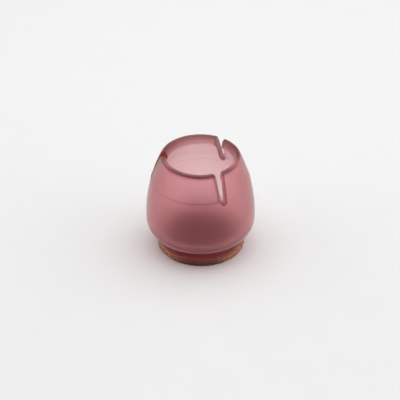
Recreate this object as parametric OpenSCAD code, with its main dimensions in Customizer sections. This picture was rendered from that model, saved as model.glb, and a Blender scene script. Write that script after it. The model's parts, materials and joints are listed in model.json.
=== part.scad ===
// Chair leg cap: a soft, see-through sleeve that stretches over the end of a chair leg.
// Slits split its mouth into lips that open for the leg, and a felt disc is bonded under its base.
// Lengths are in millimetres. The origin is the centre of the felt's underside, and +Z runs up the leg.

/* [Barrel] */
// Outer diameter at the widest part
belly_d = 30; // [26:0.5:40]
// Height from the shoulder, where the barrel ends above the base, to the rim
barrel_h = 22.7; // [18:0.1:34]
// Height of the widest part above the shoulder
belly_rise = 3.5; // [2.5:0.1:7]
// Distance of the shoulder's edge inside the widest part, on each side
shoulder_in = 1.05; // [0.6:0.05:2]
// Thickness of the barrel wall
wall = 2.05; // [1.2:0.05:2.6]
// Thickness of the wall at the shoulder
heel_wall = 2.25; // [1.6:0.05:3]
// Thickness of the wall at the rim, measured before its edges are rounded
rim_wall = 1.15; // [1:0.05:2]
// Radius of the rim's outer edge
rim_round = 0.4; // [0.2:0.05:0.5]
// Radius of the shoulder's edge
shoulder_round = 0.45; // [0.2:0.05:0.8]

/* [Socket] */
// Diameter of the gripping land inside the mouth, with no leg in it
mouth_d = 18; // [15:0.1:20]
// Depth of the land's lower edge below the rim
land_h = 2.35; // [1.8:0.05:4]
// Distance that the lead-in opens out from the land to the rim, on each side
lead_in = 0.45; // [0.2:0.05:1]
// Height of the lead-in above the land
lead_in_h = 1.45; // [0.8:0.05:1.6]
// Radius of the rim's inner edge
mouth_round = 0.25; // [0.1:0.05:0.4]
// Height of the floor above the shoulder
floor_rise = 0.05; // [0:0.05:0.6]
// Radius between the floor and the wall
floor_fillet = 3; // [0.5:0.1:3.4]

/* [Slits] */
// Number of slits, and so of lips
slit_count = 3; // [2:1:4]
// Depth of a slit below the rim
slit_depth = 7.95; // [4:0.05:10]
// Width of a slit at the rim
slit_top_w = 2.2; // [1.8:0.05:3.5]
// Width of a slit at its round bottom
slit_bottom_w = 1.55; // [1:0.05:1.8]
// Radius of the lips' corners
lip_round = 0.4; // [0.3:0.05:1]

/* [Base] */
// Height of the base below the shoulder
base_h = 3.75; // [2:0.05:5]
// Width of the ledge where the barrel overhangs the base
ledge_w = 1.95; // [0.8:0.05:3]
// Radius of the base's lower edge
base_round = 0.3; // [0.1:0.05:0.8]

/* [Felt and bond] */
// Thickness of the felt disc
felt_t = 1.6; // [1.5:0.1:6]
// Distance of the felt's edge inside the base's side
felt_inset = 0; // [0:0.05:1]
// Radius of the felt's lower edge
felt_edge = 0.1; // [0.1:0.05:0.8]
// Thickness of the adhesive film
film_t = 0.15; // [0.05:0.05:0.4]
// Distance of the film's edge inside the felt's edge
film_inset = 0.6; // [0.2:0.1:2]

/* [Mould lines] */
// Distance of the outer parting line below the rim
parting_drop = 6.85; // [4:0.05:12]
// Distance of the core's line below the rim, on the inner wall
core_line_drop = 8.8; // [4:0.05:12]
// Width of a mould line
line_w = 0.3; // [0.15:0.05:0.5]
// Height of a mould line
line_proud = 0.06; // [0.03:0.01:0.1]

/* [Hidden] */
$fn = 96;

// Cutters run this far past the faces that they open
past = 1;
// The lips' corner arcs rise this far above the rim, so they leave it at a slight angle
lip_lift = 0.05;
// Edge arcs stand this far out of the faces that they end, so the two cross cleanly
bite = 0.003;

// Heights, from the floor up
film_z = felt_t;
base_z = film_z + film_t;
shoulder_z = base_z + base_h;
floor_z = shoulder_z + floor_rise;
belly_z = shoulder_z + belly_rise;
cap_h = shoulder_z + barrel_h;
land_z = cap_h - land_h;
slit_z = cap_h - slit_depth;
lip_z = cap_h - lip_round + lip_lift;

// Radii, from the belly in to the felt, and at the mouth
belly_r = belly_d / 2;
shoulder_r = belly_r - shoulder_in;
base_r = shoulder_r - ledge_w;
felt_r = base_r - felt_inset;
floor_r = shoulder_r - heel_wall;
mouth_r = mouth_d / 2;
rim_r = mouth_r + lead_in + rim_wall;

// The barrel's two arcs stand upright where they meet at the belly: one ends at the rim and one at the shoulder.
// Inside, the upper wall is parallel to the outer arc, and the heel is an arc that ends at the floor.
function arc_radius(drop, rise) = (drop * drop + rise * rise) / (2 * drop);
upper_r = arc_radius(belly_r - rim_r, cap_h - belly_z);
lower_r = arc_radius(shoulder_in, belly_rise);
heel_r = arc_radius(belly_r - wall - floor_r, belly_z - floor_z);
upper_c = [belly_r - upper_r, belly_z];
lower_c = [belly_r - lower_r, belly_z];
heel_c = [belly_r - wall - heel_r, belly_z];

// Point of an arc at a height, and the point of an arc beyond or before another point
function arc_point(centre, radius, z) =
    [centre.x + sqrt(radius * radius - (z - centre.y) * (z - centre.y)), z];
function on_arc(centre, radius, point) = centre + (point - centre) * radius / norm(point - centre);

// Half section inside an arc, filled to the axis, between the belly and a height
module arc_band(centre, radius, end_z) {
    low = min(belly_z, end_z);
    high = max(belly_z, end_z);
    intersection() {
        union() {
            translate(centre) circle(radius);
            translate([centre.x - belly_d, low - past]) square([belly_d, high - low + 2 * past]);
        }
        translate([0, low]) square([belly_d, high - low]);
    }
}

// Half section between the belly and a flat end, with the edge at that end rounded
module half_barrel(centre, radius, end_z, edge_r) {
    side = sign(end_z - belly_z);
    edge_c = arc_point(centre, radius - edge_r, end_z - side * edge_r) + [bite, 0];
    meet = on_arc(centre, radius, edge_c);
    arc_band(centre, radius, meet.y);
    translate(edge_c) circle(edge_r);
    translate([0, min(belly_z, end_z)]) square([edge_c.x, abs(end_z - belly_z)]);
}

// Half section of a mould line, a low bead on an arc that is proud outwards or inwards
module mould_line(radius, z, outwards) {
    bead_r = (line_w * line_w / 4 + line_proud * line_proud) / (2 * line_proud);
    translate(on_arc(upper_c, radius + outwards * (line_proud - bead_r), arc_point(upper_c, radius, z)))
        circle(bead_r);
}

// Half section of the hollow: floor, wall, the bevel under the land, the land, and its lead-in from the rim
module socket_section() {
    lead_z = cap_h - lead_in_h;
    slope = [lead_in_h, -lead_in] / norm([lead_in, lead_in_h]);
    edge_z = cap_h - mouth_round;
    edge_c = [mouth_r + (mouth_round - slope.y * (edge_z - lead_z)) / slope.x, edge_z];
    meet = edge_c - mouth_round * slope;
    half_barrel(heel_c, heel_r, floor_z, floor_fillet);
    intersection() {
        arc_band(upper_c, upper_r - wall, land_z);
        polygon([
            [0, belly_z],
            [mouth_r + land_z - belly_z, belly_z],
            [mouth_r, land_z],
            [0, land_z]
        ]);
    }
    translate([0, belly_z]) square([mouth_r, lead_z - belly_z]);
    difference() {
        union() {
            polygon([[0, lead_z], [mouth_r, lead_z], meet, [0, meet.y]]);
            translate([0, meet.y]) square([edge_c.x, cap_h + past - meet.y]);
        }
        translate(edge_c - [bite, 0]) circle(mouth_round);
    }
}

// Half section of the base: a plain disc with a round lower edge
module base_section() {
    translate([0, base_z]) square([base_r - base_round, base_h + shoulder_round]);
    translate([0, base_z + base_round]) square([base_r, base_h + shoulder_round - base_round]);
    translate([base_r - base_round, base_z + base_round]) circle(base_round);
}

// Half section of the whole sleeve
module sleeve_section() {
    difference() {
        union() {
            half_barrel(lower_c, lower_r, shoulder_z, shoulder_round);
            half_barrel(upper_c, upper_r, cap_h, rim_round);
            base_section();
            mould_line(upper_r, cap_h - parting_drop, 1);
        }
        difference() {
            socket_section();
            mould_line(upper_r - wall, cap_h - core_line_drop, -1);
        }
    }
}

// Front view of a slit: a narrow V with a round bottom, opening over the lips' round corners
module slit_outline() {
    bottom_r = slit_bottom_w / 2;
    top_r = slit_top_w / 2;
    polygon([
        [-bottom_r, slit_z + bottom_r],
        [bottom_r, slit_z + bottom_r],
        [top_r, lip_z],
        [-top_r, lip_z]
    ]);
    translate([0, slit_z + bottom_r]) circle(bottom_r);
    difference() {
        translate([-top_r - lip_round, lip_z]) square([2 * (top_r + lip_round), lip_round + past]);
        for (side = [-1, 1])
            translate([side * (top_r + lip_round), lip_z]) circle(lip_round);
    }
}

// The one moulding: barrel, lips, floor and base
module sleeve() {
    color([0.72, 0.44, 0.46, 0.8])
    difference() {
        rotate_extrude() sleeve_section();
        for (i = [0 : slit_count - 1])
            rotate([0, 0, 360 / slit_count * (i + 0.5)])
                rotate([90, 0, 90])
                    linear_extrude(belly_r + past) slit_outline();
    }
}

// The film that bonds the felt to the underside of the base
module adhesive_disc() {
    color([0.85, 0.78, 0.62, 0.6])
    translate([0, 0, film_z]) cylinder(r = felt_r - film_inset, h = film_t);
}

// The die-cut felt disc, with its lower edge worn round
module felt_pad() {
    color([0.50, 0.25, 0.17])
    rotate_extrude() {
        square([felt_r - felt_edge, felt_t]);
        translate([0, felt_edge]) square([felt_r, felt_t - felt_edge]);
        translate([felt_r - felt_edge, felt_edge]) circle(felt_edge);
    }
}

sleeve();
adhesive_disc();
felt_pad();
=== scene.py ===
import json
import math
import random

import bpy
import numpy as np
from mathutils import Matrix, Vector, noise


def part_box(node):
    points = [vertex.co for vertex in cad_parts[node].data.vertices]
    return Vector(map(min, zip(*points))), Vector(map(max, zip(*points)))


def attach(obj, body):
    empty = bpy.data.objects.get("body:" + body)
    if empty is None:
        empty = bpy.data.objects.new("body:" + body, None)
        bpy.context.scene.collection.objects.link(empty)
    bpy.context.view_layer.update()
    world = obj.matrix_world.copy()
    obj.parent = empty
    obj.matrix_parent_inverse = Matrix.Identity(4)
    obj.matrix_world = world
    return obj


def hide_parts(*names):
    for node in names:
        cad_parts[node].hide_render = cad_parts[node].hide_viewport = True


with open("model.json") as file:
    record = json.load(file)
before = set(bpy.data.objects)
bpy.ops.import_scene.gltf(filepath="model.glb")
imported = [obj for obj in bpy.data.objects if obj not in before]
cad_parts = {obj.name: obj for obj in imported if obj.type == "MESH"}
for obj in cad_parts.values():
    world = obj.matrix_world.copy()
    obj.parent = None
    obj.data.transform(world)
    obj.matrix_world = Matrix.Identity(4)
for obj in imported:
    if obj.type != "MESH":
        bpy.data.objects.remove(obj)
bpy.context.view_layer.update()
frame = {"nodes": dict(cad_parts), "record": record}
print("frame loaded:", ", ".join(sorted(frame["nodes"])))

mm = 0.001  # shapes are worked out in millimetres and stored in metres


# socket maths for the materials

class Wire:
    def __init__(self, tree, socket=None):
        self.tree = tree
        self.socket = socket

    def make(self, kind, settings=None, inputs=None, output=0):
        made = self.tree.nodes.new(kind)
        for name, value in (settings or {}).items():
            if name == "stops":
                self.setStops(made.color_ramp, value)
            else:
                setattr(made, name, value)
        for name, value in (inputs or {}).items():
            self.plug(made.inputs[name], value)
        return Wire(self.tree, None if output is None else made.outputs[output])

    def setStops(self, ramp, stops):
        while len(ramp.elements) < len(stops):
            ramp.elements.new(0.5)
        for element, (place, colour) in zip(ramp.elements, stops):
            element.position = place
            element.color = colour

    def plug(self, socket, value):
        if isinstance(value, Wire):
            self.tree.links.new(value.socket, socket)
        else:
            socket.default_value = value

    def maths(self, operation, first, second):
        return self.make("ShaderNodeMath", {"operation": operation}, {0: first, 1: second})

    def __add__(self, other):
        return self.maths("ADD", self, other)

    def __radd__(self, other):
        return self.maths("ADD", other, self)

    def __sub__(self, other):
        return self.maths("SUBTRACT", self, other)

    def __rsub__(self, other):
        return self.maths("SUBTRACT", other, self)

    def __mul__(self, other):
        return self.maths("MULTIPLY", self, other)

    def __rmul__(self, other):
        return self.maths("MULTIPLY", other, self)


def newFinish(name):
    finish = bpy.data.materials.new(name)
    finish.use_nodes = True
    finish.node_tree.nodes.clear()
    return finish, Wire(finish.node_tree)


def noiseAt(tree, place, fineness, detail):
    return tree.make("ShaderNodeTexNoise", {}, {"Vector": place, "Scale": fineness, "Detail": detail}, "Fac")


def mixTone(tree, factor, first, second, blend="MIX"):
    settings = {"data_type": "RGBA", "blend_type": blend}
    return tree.make("ShaderNodeMix", settings, {"Factor": factor, 6: first, 7: second}, 2)


# runs from one end value to the other as the value passes the two limits
def fade(tree, value, limits, ends, shape="SMOOTHSTEP"):
    return tree.make("ShaderNodeMapRange", {"interpolation_type": shape}, {
        "Value": value,
        "From Min": limits[0],
        "From Max": limits[1],
        "To Min": ends[0],
        "To Max": ends[1],
    }, "Result")


# mesh helpers

hubR = 1.5  # radius of the innermost ring on a flat face


def addObject(name, data):
    thing = bpy.data.objects.new(name, data)
    bpy.context.scene.collection.objects.link(thing)
    return thing


def meshPiece(name, points, faces, finish, sharpAngle=50):
    mesh = bpy.data.meshes.new(name)
    mesh.from_pydata([tuple(c * mm for c in p) for p in points], [], faces)
    mesh.validate()
    mesh.shade_smooth()
    mesh.set_sharp_from_angle(angle=math.radians(sharpAngle))
    mesh.materials.append(finish)
    return addObject(name, mesh)


class Shell:
    # collects rows of points and the quads that bridge them
    def __init__(self):
        self.points = []
        self.faces = []

    def row(self, points):
        start = len(self.points)
        self.points.extend(tuple(float(c) for c in p) for p in points)
        return list(range(start, len(self.points)))

    def bridge(self, low, high, closed):
        count = len(low)
        for i in range(count if closed else count - 1):
            j = (i + 1) % count
            self.faces.append((low[i], low[j], high[j], high[i]))

    def stack(self, rows, closed):
        for low, high in zip(rows, rows[1:]):
            self.bridge(low, high, closed)

    def fan(self, ring, centre, up):
        hub = self.row([centre])[0]
        for i in range(len(ring)):
            j = (i + 1) % len(ring)
            self.faces.append((ring[i], ring[j], hub) if up else (ring[j], ring[i], hub))


def arcPoints(centre, radius, fromAngle, toAngle, count):
    angles = np.radians(np.linspace(fromAngle, toAngle, count))
    return [(centre[0] + radius * math.cos(a), centre[1] + radius * math.sin(a)) for a in angles]


def polar(radius, angle, z):
    return (radius * math.cos(angle), radius * math.sin(angle), z)


# sizes that the frame gives, in millimetres

sleeveLow, sleeveHigh = (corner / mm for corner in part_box("sleeve"))
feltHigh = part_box("felt_pad")[1] / mm
filmLow, filmHigh = (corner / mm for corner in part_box("adhesive_disc"))
socketMount = next(m for m in frame["record"]["mounts"] if m["name"] == "leg_socket")


# the silicone sleeve

sleeve = {
    "bellyR": sleeveHigh.x,
    "rimZ": sleeveHigh.z,
    "baseZ": sleeveLow.z,
    "mouthR": socketMount["dims"]["r_mm"],
    "rimWall": 1.15,       # thickness of the wall at the rim, on the barrel and at the shoulder
    "wall": 2.05,
    "heelWall": 2.25,
    "baseHeight": 3.75,    # from the felt's glue up to the shoulder
    "baseRound": 0.3,
    "floorRise": 0.05,     # the floor and the widest ring lie this far above the shoulder
    "bellyRise": 3.5,
    "floorFillet": 3.0,
    "shoulderIn": 1.05,    # the shoulder lies this far inside the widest ring
    "shoulderRound": 0.45,
    "ledge": 1.95,         # and stands out this far over the base
    "ledgeFillet": 0.2,
    "landDepth": 2.35,     # the land that grips the leg ends this far below the rim
    "leadIn": 0.45,        # how far the mouth opens towards the rim, and from what depth
    "leadInDepth": 1.45,
    "slits": [math.radians(a) for a in (60, 180, 300)],
    "slitDepth": 7.95,
    "slitTop": 2.2,        # width of a slit at the rim and at its round bottom
    "slitBottom": 1.55,
    "lipRound": 0.4,       # rounding of a lip's two upper corners
    "rimRound": 0.4,       # rounding where the rim meets the outside
    "mouthRound": 0.25,    # rounding where the rim meets the lead-in
    "slitRound": 0.25,     # rounding along the slits
    "partingDrop": 6.85,   # the mould lines, outside and inside, lie this far below the rim
    "coreDrop": 8.8,
    "lineWidth": 0.3,
    "lineProud": 0.07,
    "partingStep": 0.12,   # height of the parting line's step
    "partingFade": 3.0,    # below it the wall comes back to its arc over this height
    "frost": 0.47,         # roughness of the outside, and of the smoother inside
    "innerFrost": 0.34,
    "frostSpread": 0.1,    # how much that varies
    "baseFrost": 0.6,      # how much rougher the base and the floor are
    "lipPolish": 0.04,     # and how much smoother the lips' edges
    "grain": 0.5,          # strength of the fine grain and the specks
    "clear": (0.98, 0.97, 0.98, 1),
    "edgeClear": (0.42, 0.26, 0.18, 1),    # painted shade: the lips' edges look dark, as light runs on inside the wall
    "faceDark": 0.6,       # share of that painted shade on the flat of the rim
    "slitDark": 0.85,      # and on the faces of the slits
    "lineDark": 0.25,      # and on the inner mould line, for this far above and below it
    "lineDarkHalf": 0.09,
    "darkDepth": 0.8,      # the lead-in gets that painted shade as well, down to here
    "baseClear": (0.80, 0.66, 0.68, 1),    # painted shade on the outside of the base, where the felt's shade darkens it
    "baseTintTop": (5.5, 7.4),             # that painted shade fades out between these heights
    "tint": (0.81, 0.03, 0.09, 1),         # colour that the silicone takes on with depth
    "tintDensity": 225.0,
    "bend": 1.41,          # how strongly silicone bends light
    "bloom": 0.65,         # weight and roughness of the soft pale sheen
    "bloomRough": 0.38,
    "clouds": (180.0, 3.0),    # fineness and detail of the frost's clouds, the grain and the specks
    "grains": (2400.0, 4.0),
    "dust": (1100.0, 1.0),
    "speckLimits": (0.74, 0.78),
    "grainHeight": 0.5,
    "speckHeight": 2.0,
    "bumpDepth": 0.02,
    "lipColumns": 80,      # points along a lip, round a slit's bottom and over a rounding
    "arcColumns": 9,
    "roundRows": 6,
    "ringRows": 7,         # rows between the full rings and the slits' level
    "rowStep": 0.4,        # most height between two rows
    "lipStart": 0.5,       # the full rings end this far below the slits
    "bandTop": 0.15,       # the level rows end this far up the lead-in
    "topRows": 4,          # points from there to a lip's corner, and on each half of the corner
    "cornerRows": 5,
    "rows": {              # points on each stretch of the profile, with both its ends
        "under": 8,
        "baseRound": 7,
        "base": 7,
        "ledgeFillet": 5,
        "ledge": 5,
        "shoulderRound": 8,
        "lowerArc": 12,
        "heelArc": 8,
        "floorFillet": 12,
        "floor": 10,
    },
}


def arcThrough(drop, rise):
    return (drop * drop + rise * rise) / (2 * drop)


def smoothStep(share):
    return share * share * (3 - 2 * share)


class SleeveForm:
    # the heights, radii and walls that follow from the sleeve's values
    def __init__(self, look):
        self.look = look
        self.bellyR, self.mouthR = look["bellyR"], look["mouthR"]
        self.rimZ, self.baseZ = look["rimZ"], look["baseZ"]
        self.shoulderZ = self.baseZ + look["baseHeight"]
        self.floorZ = self.shoulderZ + look["floorRise"]
        self.bellyZ = self.shoulderZ + look["bellyRise"]
        self.landZ = self.rimZ - look["landDepth"]
        self.leadZ = self.rimZ - look["leadInDepth"]
        self.partingZ = self.rimZ - look["partingDrop"]
        self.coreZ = self.rimZ - look["coreDrop"]
        self.bottomHalf = look["slitBottom"] / 2
        self.topHalf = look["slitTop"] / 2
        self.arcZ = self.rimZ - look["slitDepth"] + self.bottomHalf    # centre of a slit's round bottom
        self.lipZ = self.rimZ - look["lipRound"]                       # centre of a lip's round corner
        self.midZ = self.arcZ - self.bottomHalf - look["lipStart"]     # full rings below, lips above
        self.bandZ = self.leadZ + look["bandTop"]                      # level rows end here

        shoulderR = self.bellyR - look["shoulderIn"]
        innerBellyR = self.bellyR - look["wall"]
        rimR = self.mouthR + look["leadIn"] + look["rimWall"]
        floorR = shoulderR - look["heelWall"]
        self.baseR = shoulderR - look["ledge"]
        self.upperR = arcThrough(self.bellyR - rimR, self.rimZ - self.bellyZ)
        self.lowerR = arcThrough(look["shoulderIn"], look["bellyRise"])
        self.heelR = arcThrough(innerBellyR - floorR, self.bellyZ - self.floorZ)
        self.lowerC = (self.bellyR - self.lowerR, self.bellyZ)
        self.heelC = (innerBellyR - self.heelR, self.bellyZ)

    def line(self, z, at, above, below):
        gap = (z - at) / above if z > at else (at - z) / below
        return self.look["lineProud"] * smoothStep(max(0.0, 1 - gap))

    def outerR(self, z):
        radius = self.upperR if z >= self.bellyZ else self.lowerR
        arcR = self.bellyR - radius + math.sqrt(radius ** 2 - (z - self.bellyZ) ** 2)
        step = self.look["partingStep"]
        return arcR + self.line(z, self.partingZ - step, step, self.look["partingFade"])

    def innerR(self, z):
        rise = z - self.bellyZ
        if rise < 0:
            return self.heelC[0] + math.sqrt(self.heelR ** 2 - rise ** 2)
        if z > self.leadZ:
            return self.mouthR + self.look["leadIn"] * (z - self.leadZ) / self.look["leadInDepth"]
        wallR = self.bellyR - self.upperR + math.sqrt((self.upperR - self.look["wall"]) ** 2 - rise ** 2)
        bevelR = self.mouthR + max(0.0, self.landZ - z)
        halfLine = self.look["lineWidth"] / 2
        return min(wallR, bevelR) - self.line(z, self.coreZ, halfLine, halfLine)

    def wallR(self, z, through):    # 0 is the outer wall and 1 the inner one
        outer = self.outerR(z)
        return outer + (self.innerR(z) - outer) * through

    def bevelFoot(self):    # climbs to where the bevel under the land meets the wall
        drop, step, hair = 1.0, 0.01, 0.001
        z = self.landZ - drop
        while self.innerR(z) < self.mouthR + self.landZ - z - hair:
            z += step
        return z

    # rows of points stand close together on a mould line
    def lineRows(self, at):
        return [at + self.look["lineWidth"] * share for share in (-0.5, -0.4, -0.25, 0, 0.25, 0.4, 0.5)]

    # heights of rows from low to high, with one at each mark
    def levels(self, low, high, marks):
        heights = [low] + sorted(z for z in marks if low < z < high) + [high]
        rows = [low]
        for a, b in zip(heights, heights[1:]):
            count = max(1, math.ceil((b - a) / self.look["rowStep"]))
            rows += list(np.linspace(a, b, count + 1)[1:])
        return rows

    # radius and height from the middle of the underside out and up to the lips
    def outside(self):
        corner, fillet, edgeR = (self.look[name] for name in ("baseRound", "ledgeFillet", "shoulderRound"))
        rows = self.look["rows"]
        baseR, baseZ, shoulderZ = self.baseR, self.baseZ, self.shoulderZ
        edgeRise = shoulderZ + edgeR - self.bellyZ
        edgeX = self.lowerC[0] + math.sqrt((self.lowerR - edgeR) ** 2 - edgeRise ** 2)
        edgeAngle = math.degrees(math.atan2(edgeRise, edgeX - self.lowerC[0]))
        profile = [(r, baseZ) for r in np.linspace(hubR, baseR - corner, rows["under"])]
        profile += arcPoints((baseR - corner, baseZ + corner), corner, -90, 0, rows["baseRound"])[1:]
        profile += [(baseR, z) for z in np.linspace(baseZ + corner, shoulderZ - fillet, rows["base"])[1:]]
        profile += arcPoints((baseR + fillet, shoulderZ - fillet), fillet, 180, 90, rows["ledgeFillet"])[1:]
        profile += [(r, shoulderZ) for r in np.linspace(baseR + fillet, edgeX, rows["ledge"])[1:]]
        profile += arcPoints((edgeX, shoulderZ + edgeR), edgeR, -90, edgeAngle, rows["shoulderRound"])[1:]
        profile += arcPoints(self.lowerC, self.lowerR, edgeAngle, 0, rows["lowerArc"])[1:]
        return profile + [(self.outerR(z), z) for z in self.levels(self.bellyZ, self.midZ, [])[1:-1]]

    # and inside, from the lips down to the middle of the floor
    def inside(self):
        fillet = self.look["floorFillet"]
        rows = self.look["rows"]
        filletZ = self.floorZ + fillet
        filletRise = filletZ - self.bellyZ
        filletX = self.heelC[0] + math.sqrt((self.heelR - fillet) ** 2 - filletRise ** 2)
        filletAngle = math.degrees(math.atan2(filletRise, filletX - self.heelC[0]))
        heights = self.levels(self.bellyZ, self.midZ, self.lineRows(self.coreZ))[:-1]
        profile = [(self.innerR(z), z) for z in reversed(heights)]
        profile += arcPoints(self.heelC, self.heelR, 0, filletAngle, rows["heelArc"])[1:]
        profile += arcPoints((filletX, filletZ), fillet, filletAngle, -90, rows["floorFillet"])[1:]
        return profile + [(r, self.floorZ) for r in np.linspace(filletX, hubR, rows["floor"])[1:]]


class LipEdge:
    # points along the edge of the lips, each measured from the slit beside it
    def __init__(self, form):
        self.form = form
        self.look = form.look
        self.cornerX = form.topHalf + self.look["lipRound"]
        self.lean = math.atan2(form.topHalf - form.bottomHalf, form.lipZ - form.arcZ)
        marks = form.lineRows(form.partingZ) + [form.bevelFoot(), form.landZ, form.leadZ]
        bottomAngles = np.radians(np.linspace(-90, 90, self.look["arcColumns"]))
        self.bottom = [self.bottomPoint(a) for a in bottomAngles]
        self.band = [self.sidePoint(z) for z in form.levels(form.arcZ, form.bandZ, marks)[1:]]
        topHeights = np.linspace(form.bandZ, form.lipZ, self.look["topRows"])[1:]
        lowerHalf = np.radians(np.linspace(0, 45, self.look["cornerRows"]))[1:]
        upperHalf = np.radians(np.linspace(45, 90, self.look["cornerRows"]))[1:]
        self.side = self.band + [self.sidePoint(z) for z in topHeights]
        self.side += [self.cornerPoint(a) for a in lowerHalf]
        self.corner = [self.cornerPoint(a) for a in upperHalf]
        rimColumns = self.look["lipColumns"] - 2 * len(self.corner)
        self.rim = [self.rimPoint(t) for t in np.linspace(0, 1, rimColumns + 1)[1:-1]]

    # place, way out of the silicone, roundings to the two walls, and share of the way to the next slit
    def point(self, x, z, out, blend, along=None):
        rounds = []
        for name in ("rimRound", "mouthRound"):
            rounds.append(self.look["slitRound"] + (self.look[name] - self.look["slitRound"]) * blend)
        return {"x": x, "z": z, "out": out, "rounds": rounds, "along": along}

    def bottomPoint(self, angle):
        x = self.form.bottomHalf * math.sin(angle)
        z = self.form.arcZ - self.form.bottomHalf * math.cos(angle)
        return self.point(x, z, (-math.sin(angle), math.cos(angle)), 0)

    def sidePoint(self, z):
        form = self.form
        climb = (z - form.arcZ) / (form.lipZ - form.arcZ)
        x = form.bottomHalf + (form.topHalf - form.bottomHalf) * climb
        return self.point(x, z, (-math.cos(self.lean), math.sin(self.lean)), 0)

    def cornerPoint(self, angle):
        x = self.cornerX - self.look["lipRound"] * math.cos(angle)
        z = self.form.lipZ + self.look["lipRound"] * math.sin(angle)
        return self.point(x, z, (-math.cos(angle), math.sin(angle)), smoothStep(angle / (math.pi / 2)))

    def rimPoint(self, along):
        return self.point(self.cornerX, self.form.rimZ, (0, 1), 1, along)

    def mirrored(self, points):
        return [{**p, "x": -p["x"], "out": (-p["out"][0], p["out"][1])} for p in points]

    def nextSlit(self, slit):
        return (slit + 1) % len(self.look["slits"])

    # angles run on past a full turn on the last lip, which ends at the first slit
    def turnTo(self, slit):
        return 2 * math.pi if slit == 0 else 0

    # every point in order round the mouth, with its slit
    def loop(self):
        points = []
        for slit in range(len(self.look["slits"])):
            points += [(p, slit) for p in self.bottom + self.side + self.corner + self.rim]
            back = self.mirrored(reversed(self.side + self.corner))
            points += [(p, self.nextSlit(slit)) for p in back]
        return points

    # angle, height and radius of a point moved in from the edge and part of the way through the wall
    def onWall(self, point, inset, through, slit):
        x = point["x"] - inset * point["out"][0]
        z = point["z"] - inset * point["out"][1]
        radius = self.form.wallR(z, through)
        angle = self.look["slits"][slit] + math.asin(x / radius)
        if point["along"] is not None:
            after = self.nextSlit(slit)
            last = self.look["slits"][after] + self.turnTo(after) - math.asin(x / radius)
            angle += (last - angle) * point["along"]
        return angle, z, radius

    # where one wall meets the edge's rounding, by angle and height: beside a slit, and at its lip's far end
    def near(self, points, wall, slit):
        return [self.onWall(p, p["rounds"][wall], wall, slit)[:2] for p in points]

    def far(self, points, wall, slit):
        after = self.nextSlit(slit)
        return [(a + self.turnTo(after), z) for a, z in self.near(self.mirrored(points), wall, after)]

    # the columns of one wall at the slits' level, and the left, right and top sides of each lip
    def outline(self, wall):
        columns = []
        lips = []
        for slit in range(len(self.look["slits"])):
            bottom = self.near(self.bottom, wall, slit)
            left = self.near(self.side, wall, slit)
            right = self.far(self.side, wall, slit)
            top = [left[-1]] + self.near(self.corner + self.rim, wall, slit)
            top += self.far(reversed(self.corner), wall, slit) + [right[-1]]
            share = [(a - top[0][0]) / (top[-1][0] - top[0][0]) for a, z in top]
            startAngle, startZ = bottom[-1]
            endAngle = self.far(self.bottom[-1:], wall, slit)[0][0]
            level = [(startAngle + (endAngle - startAngle) * s, startZ) for s in share]
            columns += bottom + level[1:-1]
            lips.append((left, right, top, share))
        return columns, lips


# rows of angle and height that fill a lip: level ones, and then ones that follow all its sides
def lipRows(left, right, top, share, levelCount):
    rows = []
    for (a0, z), (a1, _) in zip(left[:levelCount], right):
        rows.append([(a0 + (a1 - a0) * s, z) for s in share])
    low, high = np.array(rows[-1]), np.array(top)
    for a, b in zip(np.array(left[levelCount:]), np.array(right[levelCount:])):
        v = (a[1] - low[0][1]) / (high[0][1] - low[0][1])
        bent = []
        for j, s in enumerate(share):
            fromSides = a * (1 - s) + b * s
            fromEnds = low[j] * (1 - v) + high[j] * v
            lowSide = low[0] * (1 - s) + low[-1] * s
            highSide = high[0] * (1 - s) + high[-1] * s
            bent.append(fromSides + fromEnds - lowSide * (1 - v) - highSide * v)
        rows.append(bent)
    return rows


# one wall from the full rings up to the edge of the lips: its rings, its lips, its edge and its angles
def buildWall(form, edge, shell, wall):
    look = form.look

    def wallRow(spots):
        return shell.row([polar(form.wallR(z, wall), a, z) for a, z in spots])

    columns, outlines = edge.outline(wall)
    rings = []
    for f in np.linspace(0, 1, look["ringRows"]):
        rings.append(wallRow([(a, form.midZ + (z - form.midZ) * f) for a, z in columns]))
    loop = []
    lips = []
    slitColumns = len(edge.bottom)
    for slit, sides in enumerate(outlines):
        first = slit * (slitColumns + look["lipColumns"] - 1)
        corner = first + slitColumns - 1
        grid = [[rings[-1][(corner + i) % len(columns)] for i in range(look["lipColumns"] + 1)]]
        grid += [wallRow(row) for row in lipRows(*sides, len(edge.band))]
        loop += rings[-1][first:first + slitColumns]
        loop += [row[0] for row in grid[1:]] + grid[-1][1:-1] + [row[-1] for row in reversed(grid[1:])]
        lips.append(grid)
    return rings, lips, loop, [a for a, z in columns]


# rows over the edge of the lips, and how much painted shade each of their points gets: most in the middle of
# each bend
def buildEdge(form, edge, shell, outLoop, inLoop):
    look = form.look
    quarter = np.radians(np.linspace(0, 90, look["roundRows"]))[1:]
    steps = [(0, a) for a in quarter] + [(1, a) for a in reversed(quarter)]
    around = edge.loop()
    rows = [outLoop]
    shade = []
    for wall, a in steps:
        spots = []
        for point, slit in around:
            rounding = point["rounds"][wall]
            inset = rounding * (1 - math.sin(a))
            z = point["z"] - inset * point["out"][1]
            deep = rounding * (1 - math.cos(a)) / (form.outerR(z) - form.innerR(z))
            angle, z, radius = edge.onWall(point, inset, 1 - deep if wall else deep, slit)
            spots.append(polar(radius, angle, z))
            flat = look["slitDark"] + (look["faceDark"] - look["slitDark"]) * max(0, point["out"][1])
            shade.append(flat + (1 - flat) * math.sin(2 * a))
        rows.append(shell.row(spots))
    shell.stack(rows + [inLoop], True)
    return shade


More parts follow.
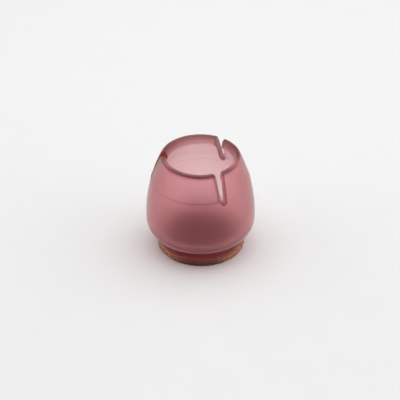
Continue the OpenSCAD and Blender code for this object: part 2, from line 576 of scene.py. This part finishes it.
def buildSleeve(look, finish):
    form = SleeveForm(look)
    edge = LipEdge(form)
    shell = Shell()
    outRings, outLips, outLoop, outAngles = buildWall(form, edge, shell, 0)
    inRings, inLips, inLoop, inAngles = buildWall(form, edge, shell, 1)

    rings = [shell.row([polar(r, a, z) for a in outAngles]) for r, z in form.outside()] + outRings
    shell.stack(rings, True)
    shell.fan(rings[0], (0, 0, form.baseZ), False)
    for grid in outLips:
        shell.stack(grid, False)
    firstEdge = len(shell.points)
    shade = buildEdge(form, edge, shell, outLoop, inLoop)
    for grid in inLips:
        shell.stack(grid[::-1], False)
    rings = inRings[::-1] + [shell.row([polar(r, a, z) for a in inAngles]) for r, z in form.inside()]
    shell.stack(rings, True)
    shell.fan(rings[-1], (0, 0, form.floorZ), True)
    skin = meshPiece("sleeveSkin", shell.points, shell.faces, finish)

    # what the finish reads: which points are inside, and how much painted shade those at the edge of the
    # lips, on the lead-in and on the inner mould line get
    inside = set(i for grid in inLips + [inRings] for row in grid for i in row)
    inside.update(range(firstEdge, len(shell.points)))
    smooth = skin.data.attributes.new("inside", "FLOAT", "POINT").data
    for i in inside:
        smooth[i].value = 1
    dark = skin.data.attributes.new("lipEdge", "FLOAT", "POINT").data
    for i, value in enumerate(shade):
        dark[firstEdge + i].value = value
    # painted shade on the lead-in and along the inner mould line
    for i in inside:
        z = shell.points[i][2]
        if z > form.rimZ - look["darkDepth"]:
            dark[i].value = max(dark[i].value, look["faceDark"])
        elif abs(z - form.coreZ) < look["lineDarkHalf"]:
            dark[i].value = look["lineDark"]
    return skin


def siliconeFinish(look):
    finish, tree = newFinish("roseSilicone")
    inside = tree.make("ShaderNodeAttribute", {"attribute_name": "inside"}, {}, "Fac")
    lipEdge = tree.make("ShaderNodeAttribute", {"attribute_name": "lipEdge"}, {}, "Fac")
    place = tree.make("ShaderNodeTexCoord", {}, {}, "Object")
    height = tree.make("ShaderNodeSeparateXYZ", {}, {"Vector": place}, "Z")
    nearBase = fade(tree, height, [z * mm for z in look["baseTintTop"]], (1.0, 0.0))
    # painted shade: the lips' edges, the lead-in and the inner mould line are darkened in colour
    tone = mixTone(tree, lipEdge, look["clear"], look["edgeClear"])
    # painted shade on the outside of the base, fading out above the shoulder
    tone = mixTone(tree, nearBase * (1 - inside), tone, look["baseClear"])
    cloud = noiseAt(tree, place, *look["clouds"])
    frost = look["frost"] - inside * (look["frost"] - look["innerFrost"])
    frost = frost + (cloud - 0.5) * look["frostSpread"]
    frost = frost + nearBase * look["baseFrost"] - lipEdge * look["lipPolish"]
    grain = noiseAt(tree, place, *look["grains"])
    dust = noiseAt(tree, place, *look["dust"])
    specks = fade(tree, dust, look["speckLimits"], (0.0, 1.0), "LINEAR")
    relief = grain * look["grainHeight"] + specks * look["speckHeight"]
    bump = tree.make("ShaderNodeBump", {}, {
        "Height": relief * (1 - lipEdge),
        "Strength": look["grain"],
        "Distance": look["bumpDepth"] * mm,
    })
    surface = tree.make("ShaderNodeBsdfPrincipled", {}, {
        "Base Color": tone,
        "Roughness": frost,
        "Normal": bump,
        "IOR": look["bend"],
        "Transmission Weight": 1.0,
        "Sheen Weight": look["bloom"],
        "Sheen Roughness": look["bloomRough"],
    })
    tint = tree.make("ShaderNodeVolumeAbsorption", {}, {
        "Color": look["tint"],
        "Density": look["tintDensity"],
    })
    tree.make("ShaderNodeOutputMaterial", {}, {"Surface": surface, "Volume": tint}, None)
    return finish


sleeveSkin = buildSleeve(sleeve, siliconeFinish(sleeve))
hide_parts("sleeve")
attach(sleeveSkin, "root")
print("sleeve:", len(sleeveSkin.data.vertices), "points")


# the adhesive film, squeezed out unevenly at its edge

film = {
    "radius": filmHigh.x,
    "lowZ": filmLow.z,
    "highZ": filmHigh.z,
    "waviness": 0.35,
    "waves": ((1.6, 1.0, 3.1), (5.0, 0.5, 7.7)),    # fineness, weight and seed of each
    "contact": 0.004,      # it wets the silicone, so no air is left between them
    "rings": (0.3, 0.8, 0.985),
    "columns": 240,
    "tones": [
        (0.35, (0.20, 0.085, 0.06, 1)),
        (0.65, (0.30, 0.14, 0.10, 1)),
    ],
    "blotches": (420.0, 4.0),    # fineness and detail
    "roughness": 0.55,
}


def buildFilm(look, finish):
    shell = Shell()
    angles = np.linspace(0, 2 * math.pi, look["columns"], endpoint=False)
    edgeR = []
    for a in angles:
        wave = 0
        for fine, weight, seed in look["waves"]:
            wave += weight * noise.noise(Vector(polar(fine, a, seed)))
        edgeR.append(look["radius"] - look["waviness"] * (0.5 + 0.5 * math.tanh(2 * wave)))
    lowZ, highZ = look["lowZ"], look["highZ"] + look["contact"]
    shape = [(share, lowZ) for share in look["rings"]]
    shape.append((1.0, (lowZ + highZ) / 2))
    shape += [(share, highZ) for share in reversed(look["rings"])]
    rows = [shell.row([polar(r * share, a, z) for r, a in zip(edgeR, angles)]) for share, z in shape]
    shell.stack(rows, True)
    shell.fan(rows[0], (0, 0, lowZ), False)
    shell.fan(rows[-1], (0, 0, highZ), True)
    return meshPiece("adhesiveFilm", shell.points, shell.faces, finish)


def filmFinish(look):
    finish, tree = newFinish("brownAdhesive")
    place = tree.make("ShaderNodeTexCoord", {}, {}, "Object")
    blotches = noiseAt(tree, place, *look["blotches"])
    tone = tree.make("ShaderNodeValToRGB", {"stops": look["tones"]}, {"Fac": blotches})
    surface = tree.make("ShaderNodeBsdfPrincipled", {}, {
        "Base Color": tone,
        "Roughness": look["roughness"],
    })
    tree.make("ShaderNodeOutputMaterial", {}, {"Surface": surface}, None)
    return finish


adhesiveFilm = buildFilm(film, filmFinish(film))
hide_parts("adhesive_disc")
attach(adhesiveFilm, "root")
print("film:", len(adhesiveFilm.data.vertices), "points")


# the felt disc and the fibres that stand out of it

felt = {
    "radius": feltHigh.x,
    "thick": feltHigh.z,
    "edgeRound": 0.1,
    "topRound": 0.15,
    "hollow": 0.02,        # rise of the middle of the underside
    "lumps": ((0.06, 1.1), (0.05, 3.7), (0.025, 9.0)),    # height and fineness of each layer
    "columns": 420,
    "rows": {              # points on each stretch of the profile, with both its ends
        "under": 14,
        "edgeRound": 7,
        "edge": 20,
        "topRound": 5,
        "top": 8,
    },
    "downLimit": -0.9,     # what faces down more than this is pushed in by the lumps, never out
    "seed": 41,
    "fibres": 2600,
    "fibreLength": (0.3, 0.9),
    "fibreHalfWidth": (0.016, 0.03),
    "fibreReach": 0.25,    # how far the fibres stand out
    "fibreRoot": 0.05,     # how deep they start
    "fibreClimb": 0.5,     # most that they lean up or down, and curl
    "fibreCurl": 0.4,
    "fibreArch": 0.62,     # share of a half wave that their way out follows
    "fibreTaper": 0.6,
    "fibreKnots": 6,
    "fibreGaps": (0.08, 0.1),     # roots keep this far off the floor and the base
    "fibreFloor": 0.03,           # and the fibres' lowest bends this far off the floor
    "shift": (0.15, -0.25, 0),    # it was stuck on by hand, a little off centre
    "clumps": (2200.0, 6.0),      # fineness and detail of the clumps, and of the flecks on them
    "flecks": (3600.0, 3.0),
    "clumpTones": [
        (0.30, (0.13, 0.038, 0.024, 1)),
        (0.50, (0.36, 0.120, 0.072, 1)),
        (0.68, (0.92, 0.48, 0.27, 1)),
    ],
    "soiled": (0.03, 1.2),    # painted contact shade on the lower edge: share of the tone left there, and the shade's height
    "sideSoil": 0.25,         # share of that painted shade at the sides
    "stain": (0.97, 8.5),     # painted shade: a band from front to back is darker too: how much, and how far to the sides
    "stainTone": (0.14, 0.012, 0.010, 1),
    "fleckStrength": 0.5,
    "fleckDepth": 0.1,
    "fuzz": 0.7,              # weight, roughness and colour of the light that the nap catches
    "fuzzRough": 0.62,
    "fuzzTint": (1.0, 0.58, 0.42, 1),
}


def feltLump(look, place):
    return sum(height * noise.noise(Vector(place) * fine) for height, fine in look["lumps"])


def buildFelt(look, finish):
    shell = Shell()
    angles = np.linspace(0, 2 * math.pi, look["columns"], endpoint=False)
    edge, top, radius, thick = look["edgeRound"], look["topRound"], look["radius"], look["thick"]
    count = look["rows"]
    # rows of radius and height, and the way that the lumps push each out
    profile = [(r, 0, 0, -1) for r in np.linspace(hubR, radius - edge, count["under"])]
    for x, z in arcPoints((radius - edge, edge), edge, -90, 0, count["edgeRound"])[1:]:
        profile.append((x, z, (x - radius + edge) / edge, (z - edge) / edge))
    profile += [(radius, z, 1, 0) for z in np.linspace(edge, thick - top, count["edge"])[1:]]
    for x, z in arcPoints((radius - top, thick - top), top, 0, 90, count["topRound"])[1:]:
        profile.append((x, z, 1, 0))
    profile += [(r, thick, 0, 0) for r in np.linspace(radius - top, hubR, count["top"])[1:]]
    rows = []
    for r, z, outR, outZ in profile:
        facesDown = outZ < look["downLimit"]
        ring = []
        for a in angles:
            push = feltLump(look, polar(r, a, z))
            if facesDown:
                push = -abs(push)             # the underside never dips below the floor
            ring.append(polar(r + push * outR, a, max(0.0, z + push * outZ)))
        rows.append(shell.row(ring))
    shell.stack(rows, True)
    shell.fan(rows[0], (0, 0, look["hollow"]), False)
    shell.fan(rows[-1], (0, 0, thick), True)
    return meshPiece("feltDisc", shell.points, shell.faces, finish)


def buildFibres(look, finish):
    shell = Shell()
    dice = random.Random(look["seed"])
    knots, root = look["fibreKnots"], look["fibreRoot"]
    lowZ, topZ = look["fibreGaps"][0], look["thick"] - look["fibreGaps"][1]
    for _ in range(look["fibres"]):
        a = dice.uniform(0, 2 * math.pi)
        z = dice.uniform(lowZ, topZ)
        length = dice.uniform(*look["fibreLength"])
        halfWidth = dice.uniform(*look["fibreHalfWidth"])
        spin = dice.uniform(-1, 1)            # how much of its length lies along the edge, either way
        climb = dice.uniform(-look["fibreClimb"], look["fibreClimb"])
        reach = look["fibreReach"] * dice.random() ** 2
        curl = dice.uniform(-look["fibreCurl"], look["fibreCurl"])
        spine = []
        for t in np.linspace(0, 1, knots):
            along = length * (t - 0.5) * spin / look["radius"]
            height = z + length * (climb * (t - 0.5) + curl * t * (1 - t))
            height = max(look["fibreFloor"], min(topZ, height))
            r = look["radius"] - root + (reach + root) * math.sin(math.pi * t * look["fibreArch"])
            spine.append(Vector(polar(r, a + along, height)))
        rings = []
        for i, spot in enumerate(spine):
            ahead = (spine[min(i + 1, knots - 1)] - spine[max(i - 1, 0)]).normalized()
            side = ahead.orthogonal().normalized()
            other = ahead.cross(side)
            thin = halfWidth * (1 - look["fibreTaper"] * (i / (knots - 1)) ** 2)
            rings.append(shell.row([spot + thin * (side * math.cos(b) + other * math.sin(b))
                                    for b in np.radians((0, 120, 240))]))
        shell.stack(rings, True)
        shell.faces.append(tuple(reversed(rings[0])))
        shell.faces.append(tuple(rings[-1]))
    return meshPiece("feltFibres", shell.points, shell.faces, finish)


def feltFinish(look):
    finish, tree = newFinish("rustFelt")
    place = tree.make("ShaderNodeTexCoord", {}, {}, "Object")
    height = tree.make("ShaderNodeSeparateXYZ", {}, {"Vector": place}, "Z")
    across = tree.make("ShaderNodeSeparateXYZ", {}, {"Vector": place}, "X")
    clumps = noiseAt(tree, place, *look["clumps"])
    tone = tree.make("ShaderNodeValToRGB", {"stops": look["clumpTones"]}, {"Fac": clumps})
    # painted shade: darker in a band through the middle, at the front and the back alike
    middleShadeShare, middleShadeReach = look["stain"]
    inMiddleShade = fade(tree, across * across, (0.0, (middleShadeReach * mm) ** 2), (1.0, 0.0))
    tone = mixTone(tree, inMiddleShade * middleShadeShare, tone, look["stainTone"])
    # painted contact shade along the lower edge, weaker at the sides
    footToneLeft, footShadeHeight = look["soiled"]
    footUnshaded = fade(tree, height, (0.0, footShadeHeight * mm), (footToneLeft, 1.0))
    footShadeAmount = (1 - footUnshaded) * (look["sideSoil"] + (1 - look["sideSoil"]) * inMiddleShade)
    tone = mixTone(tree, 1.0, tone, 1 - footShadeAmount, "MULTIPLY")
    bump = tree.make("ShaderNodeBump", {}, {
        "Height": noiseAt(tree, place, *look["flecks"]),
        "Strength": look["fleckStrength"],
        "Distance": look["fleckDepth"] * mm,
    })
    surface = tree.make("ShaderNodeBsdfPrincipled", {}, {
        "Base Color": tone,
        "Roughness": 1.0,
        "Normal": bump,
        "Sheen Weight": look["fuzz"],
        "Sheen Roughness": look["fuzzRough"],
        "Sheen Tint": look["fuzzTint"],
    })
    tree.make("ShaderNodeOutputMaterial", {}, {"Surface": surface}, None)
    return finish


rustFelt = feltFinish(felt)
feltDisc = buildFelt(felt, rustFelt)
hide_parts("felt_pad")
feltFibres = buildFibres(felt, rustFelt)
for piece in (feltDisc, feltFibres):
    piece.location = Vector(felt["shift"]) * mm
    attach(piece, "root")
print("felt:", len(feltDisc.data.vertices), "points and", felt["fibres"], "fibres")


# floor, light and camera

stage = {
    "floorSize": 6.0,
    "floorColour": (0.79, 0.79, 0.79, 1),
    "floorRough": 0.9,
    "mottleNoise": (90.0, 3.0),         # fineness and detail
    "mottle": (0.985, 0.03),            # darkest share of the floor's colour, and how far it varies
    "worldStrength": 0.61,
    "sideGlow": 0.95,                   # extra light from the left and the right
    "rightGlow": 0.45,                  # and from the right alone
    "worldStops": [                     # dark in front, where the camera stands
        (0.09, (0.04, 0.04, 0.04, 1)),
        (0.32, (1.0, 1.0, 1.0, 1)),
    ],
    "lampPlace": Vector((0.03, 0.1, 0.42)),
    "lampSize": 0.45,
    "lampPower": 0.88,
    "lightBounces": 24,                 # enough for light to cross both walls
}


def floorFinish(look):
    finish, tree = newFinish("paleFloor")
    place = tree.make("ShaderNodeTexCoord", {}, {}, "Object")
    darkest, spread = look["mottle"]
    mottle = darkest + noiseAt(tree, place, *look["mottleNoise"]) * spread
    tone = mixTone(tree, 1.0, look["floorColour"], mottle, "MULTIPLY")
    surface = tree.make("ShaderNodeBsdfPrincipled", {}, {
        "Base Color": tone,
        "Roughness": look["floorRough"],
    })
    tree.make("ShaderNodeOutputMaterial", {}, {"Surface": surface}, None)
    return finish


def buildFloor(look):
    half = look["floorSize"] / 2
    corners = [(-half, -half, 0), (half, -half, 0), (half, half, 0), (-half, half, 0)]
    mesh = bpy.data.meshes.new("studioFloor")
    mesh.from_pydata(corners, [], [(0, 1, 2, 3)])
    mesh.materials.append(floorFinish(look))
    return addObject("studioFloor", mesh)


def studioWorld(look):
    world = bpy.data.worlds.new("studioLight")
    world.use_nodes = True
    world.node_tree.nodes.clear()
    tree = Wire(world.node_tree)
    way = tree.make("ShaderNodeTexCoord", {}, {}, "Generated")
    toBack = tree.make("ShaderNodeSeparateXYZ", {}, {"Vector": way}, "Y")
    glow = tree.make("ShaderNodeValToRGB", {"stops": look["worldStops"]}, {"Fac": 0.5 + toBack * 0.5})
    aside = tree.make("ShaderNodeSeparateXYZ", {}, {"Vector": way}, "X")
    toRight = tree.maths("MAXIMUM", aside, 0.0)
    strength = look["worldStrength"] + aside * aside * look["sideGlow"]
    strength = strength + toRight * toRight * look["rightGlow"]
    sky = tree.make("ShaderNodeBackground", {}, {"Color": glow, "Strength": strength})
    tree.make("ShaderNodeOutputWorld", {}, {"Surface": sky}, None)
    return world


def buildSoftbox(look):
    lamp = bpy.data.lights.new("softbox", "AREA")
    lamp.shape = "SQUARE"
    lamp.size = look["lampSize"]
    lamp.energy = look["lampPower"]
    softbox = addObject("softbox", lamp)
    softbox.location = look["lampPlace"]
    softbox.rotation_euler = look["lampPlace"].to_track_quat("Z", "Y").to_euler()
    return softbox


studioFloor = buildFloor(stage)
softbox = buildSoftbox(stage)
scene = bpy.context.scene
scene.world = studioWorld(stage)
scene.view_settings.view_transform = "Standard"
scene.cycles.max_bounces = stage["lightBounces"]
scene.cycles.transmission_bounces = stage["lightBounces"]
scene.cycles.use_denoising = True

camera = {
    "elevation": math.radians(35.3),
    "bearing": math.radians(-87.5),     # the photo's view is a little to the right of -Y
    "distance": 294 * mm,
    "fieldOfView": math.radians(21.16),
    "aim": Vector((-0.14, 0, 13.4)) * mm,
    "clipStart": 0.01,
}


def buildCamera(look):
    lens = bpy.data.cameras.new("photoView")
    lens.angle = look["fieldOfView"]
    lens.clip_start = look["clipStart"]
    level = math.cos(look["elevation"])
    sight = Vector(polar(level, look["bearing"], math.sin(look["elevation"])))
    photoView = addObject("photoView", lens)
    photoView.location = look["aim"] + sight * look["distance"]
    photoView.rotation_euler = sight.to_track_quat("Z", "Y").to_euler()
    return photoView


scene.camera = buildCamera(camera)
print("stage and camera set")
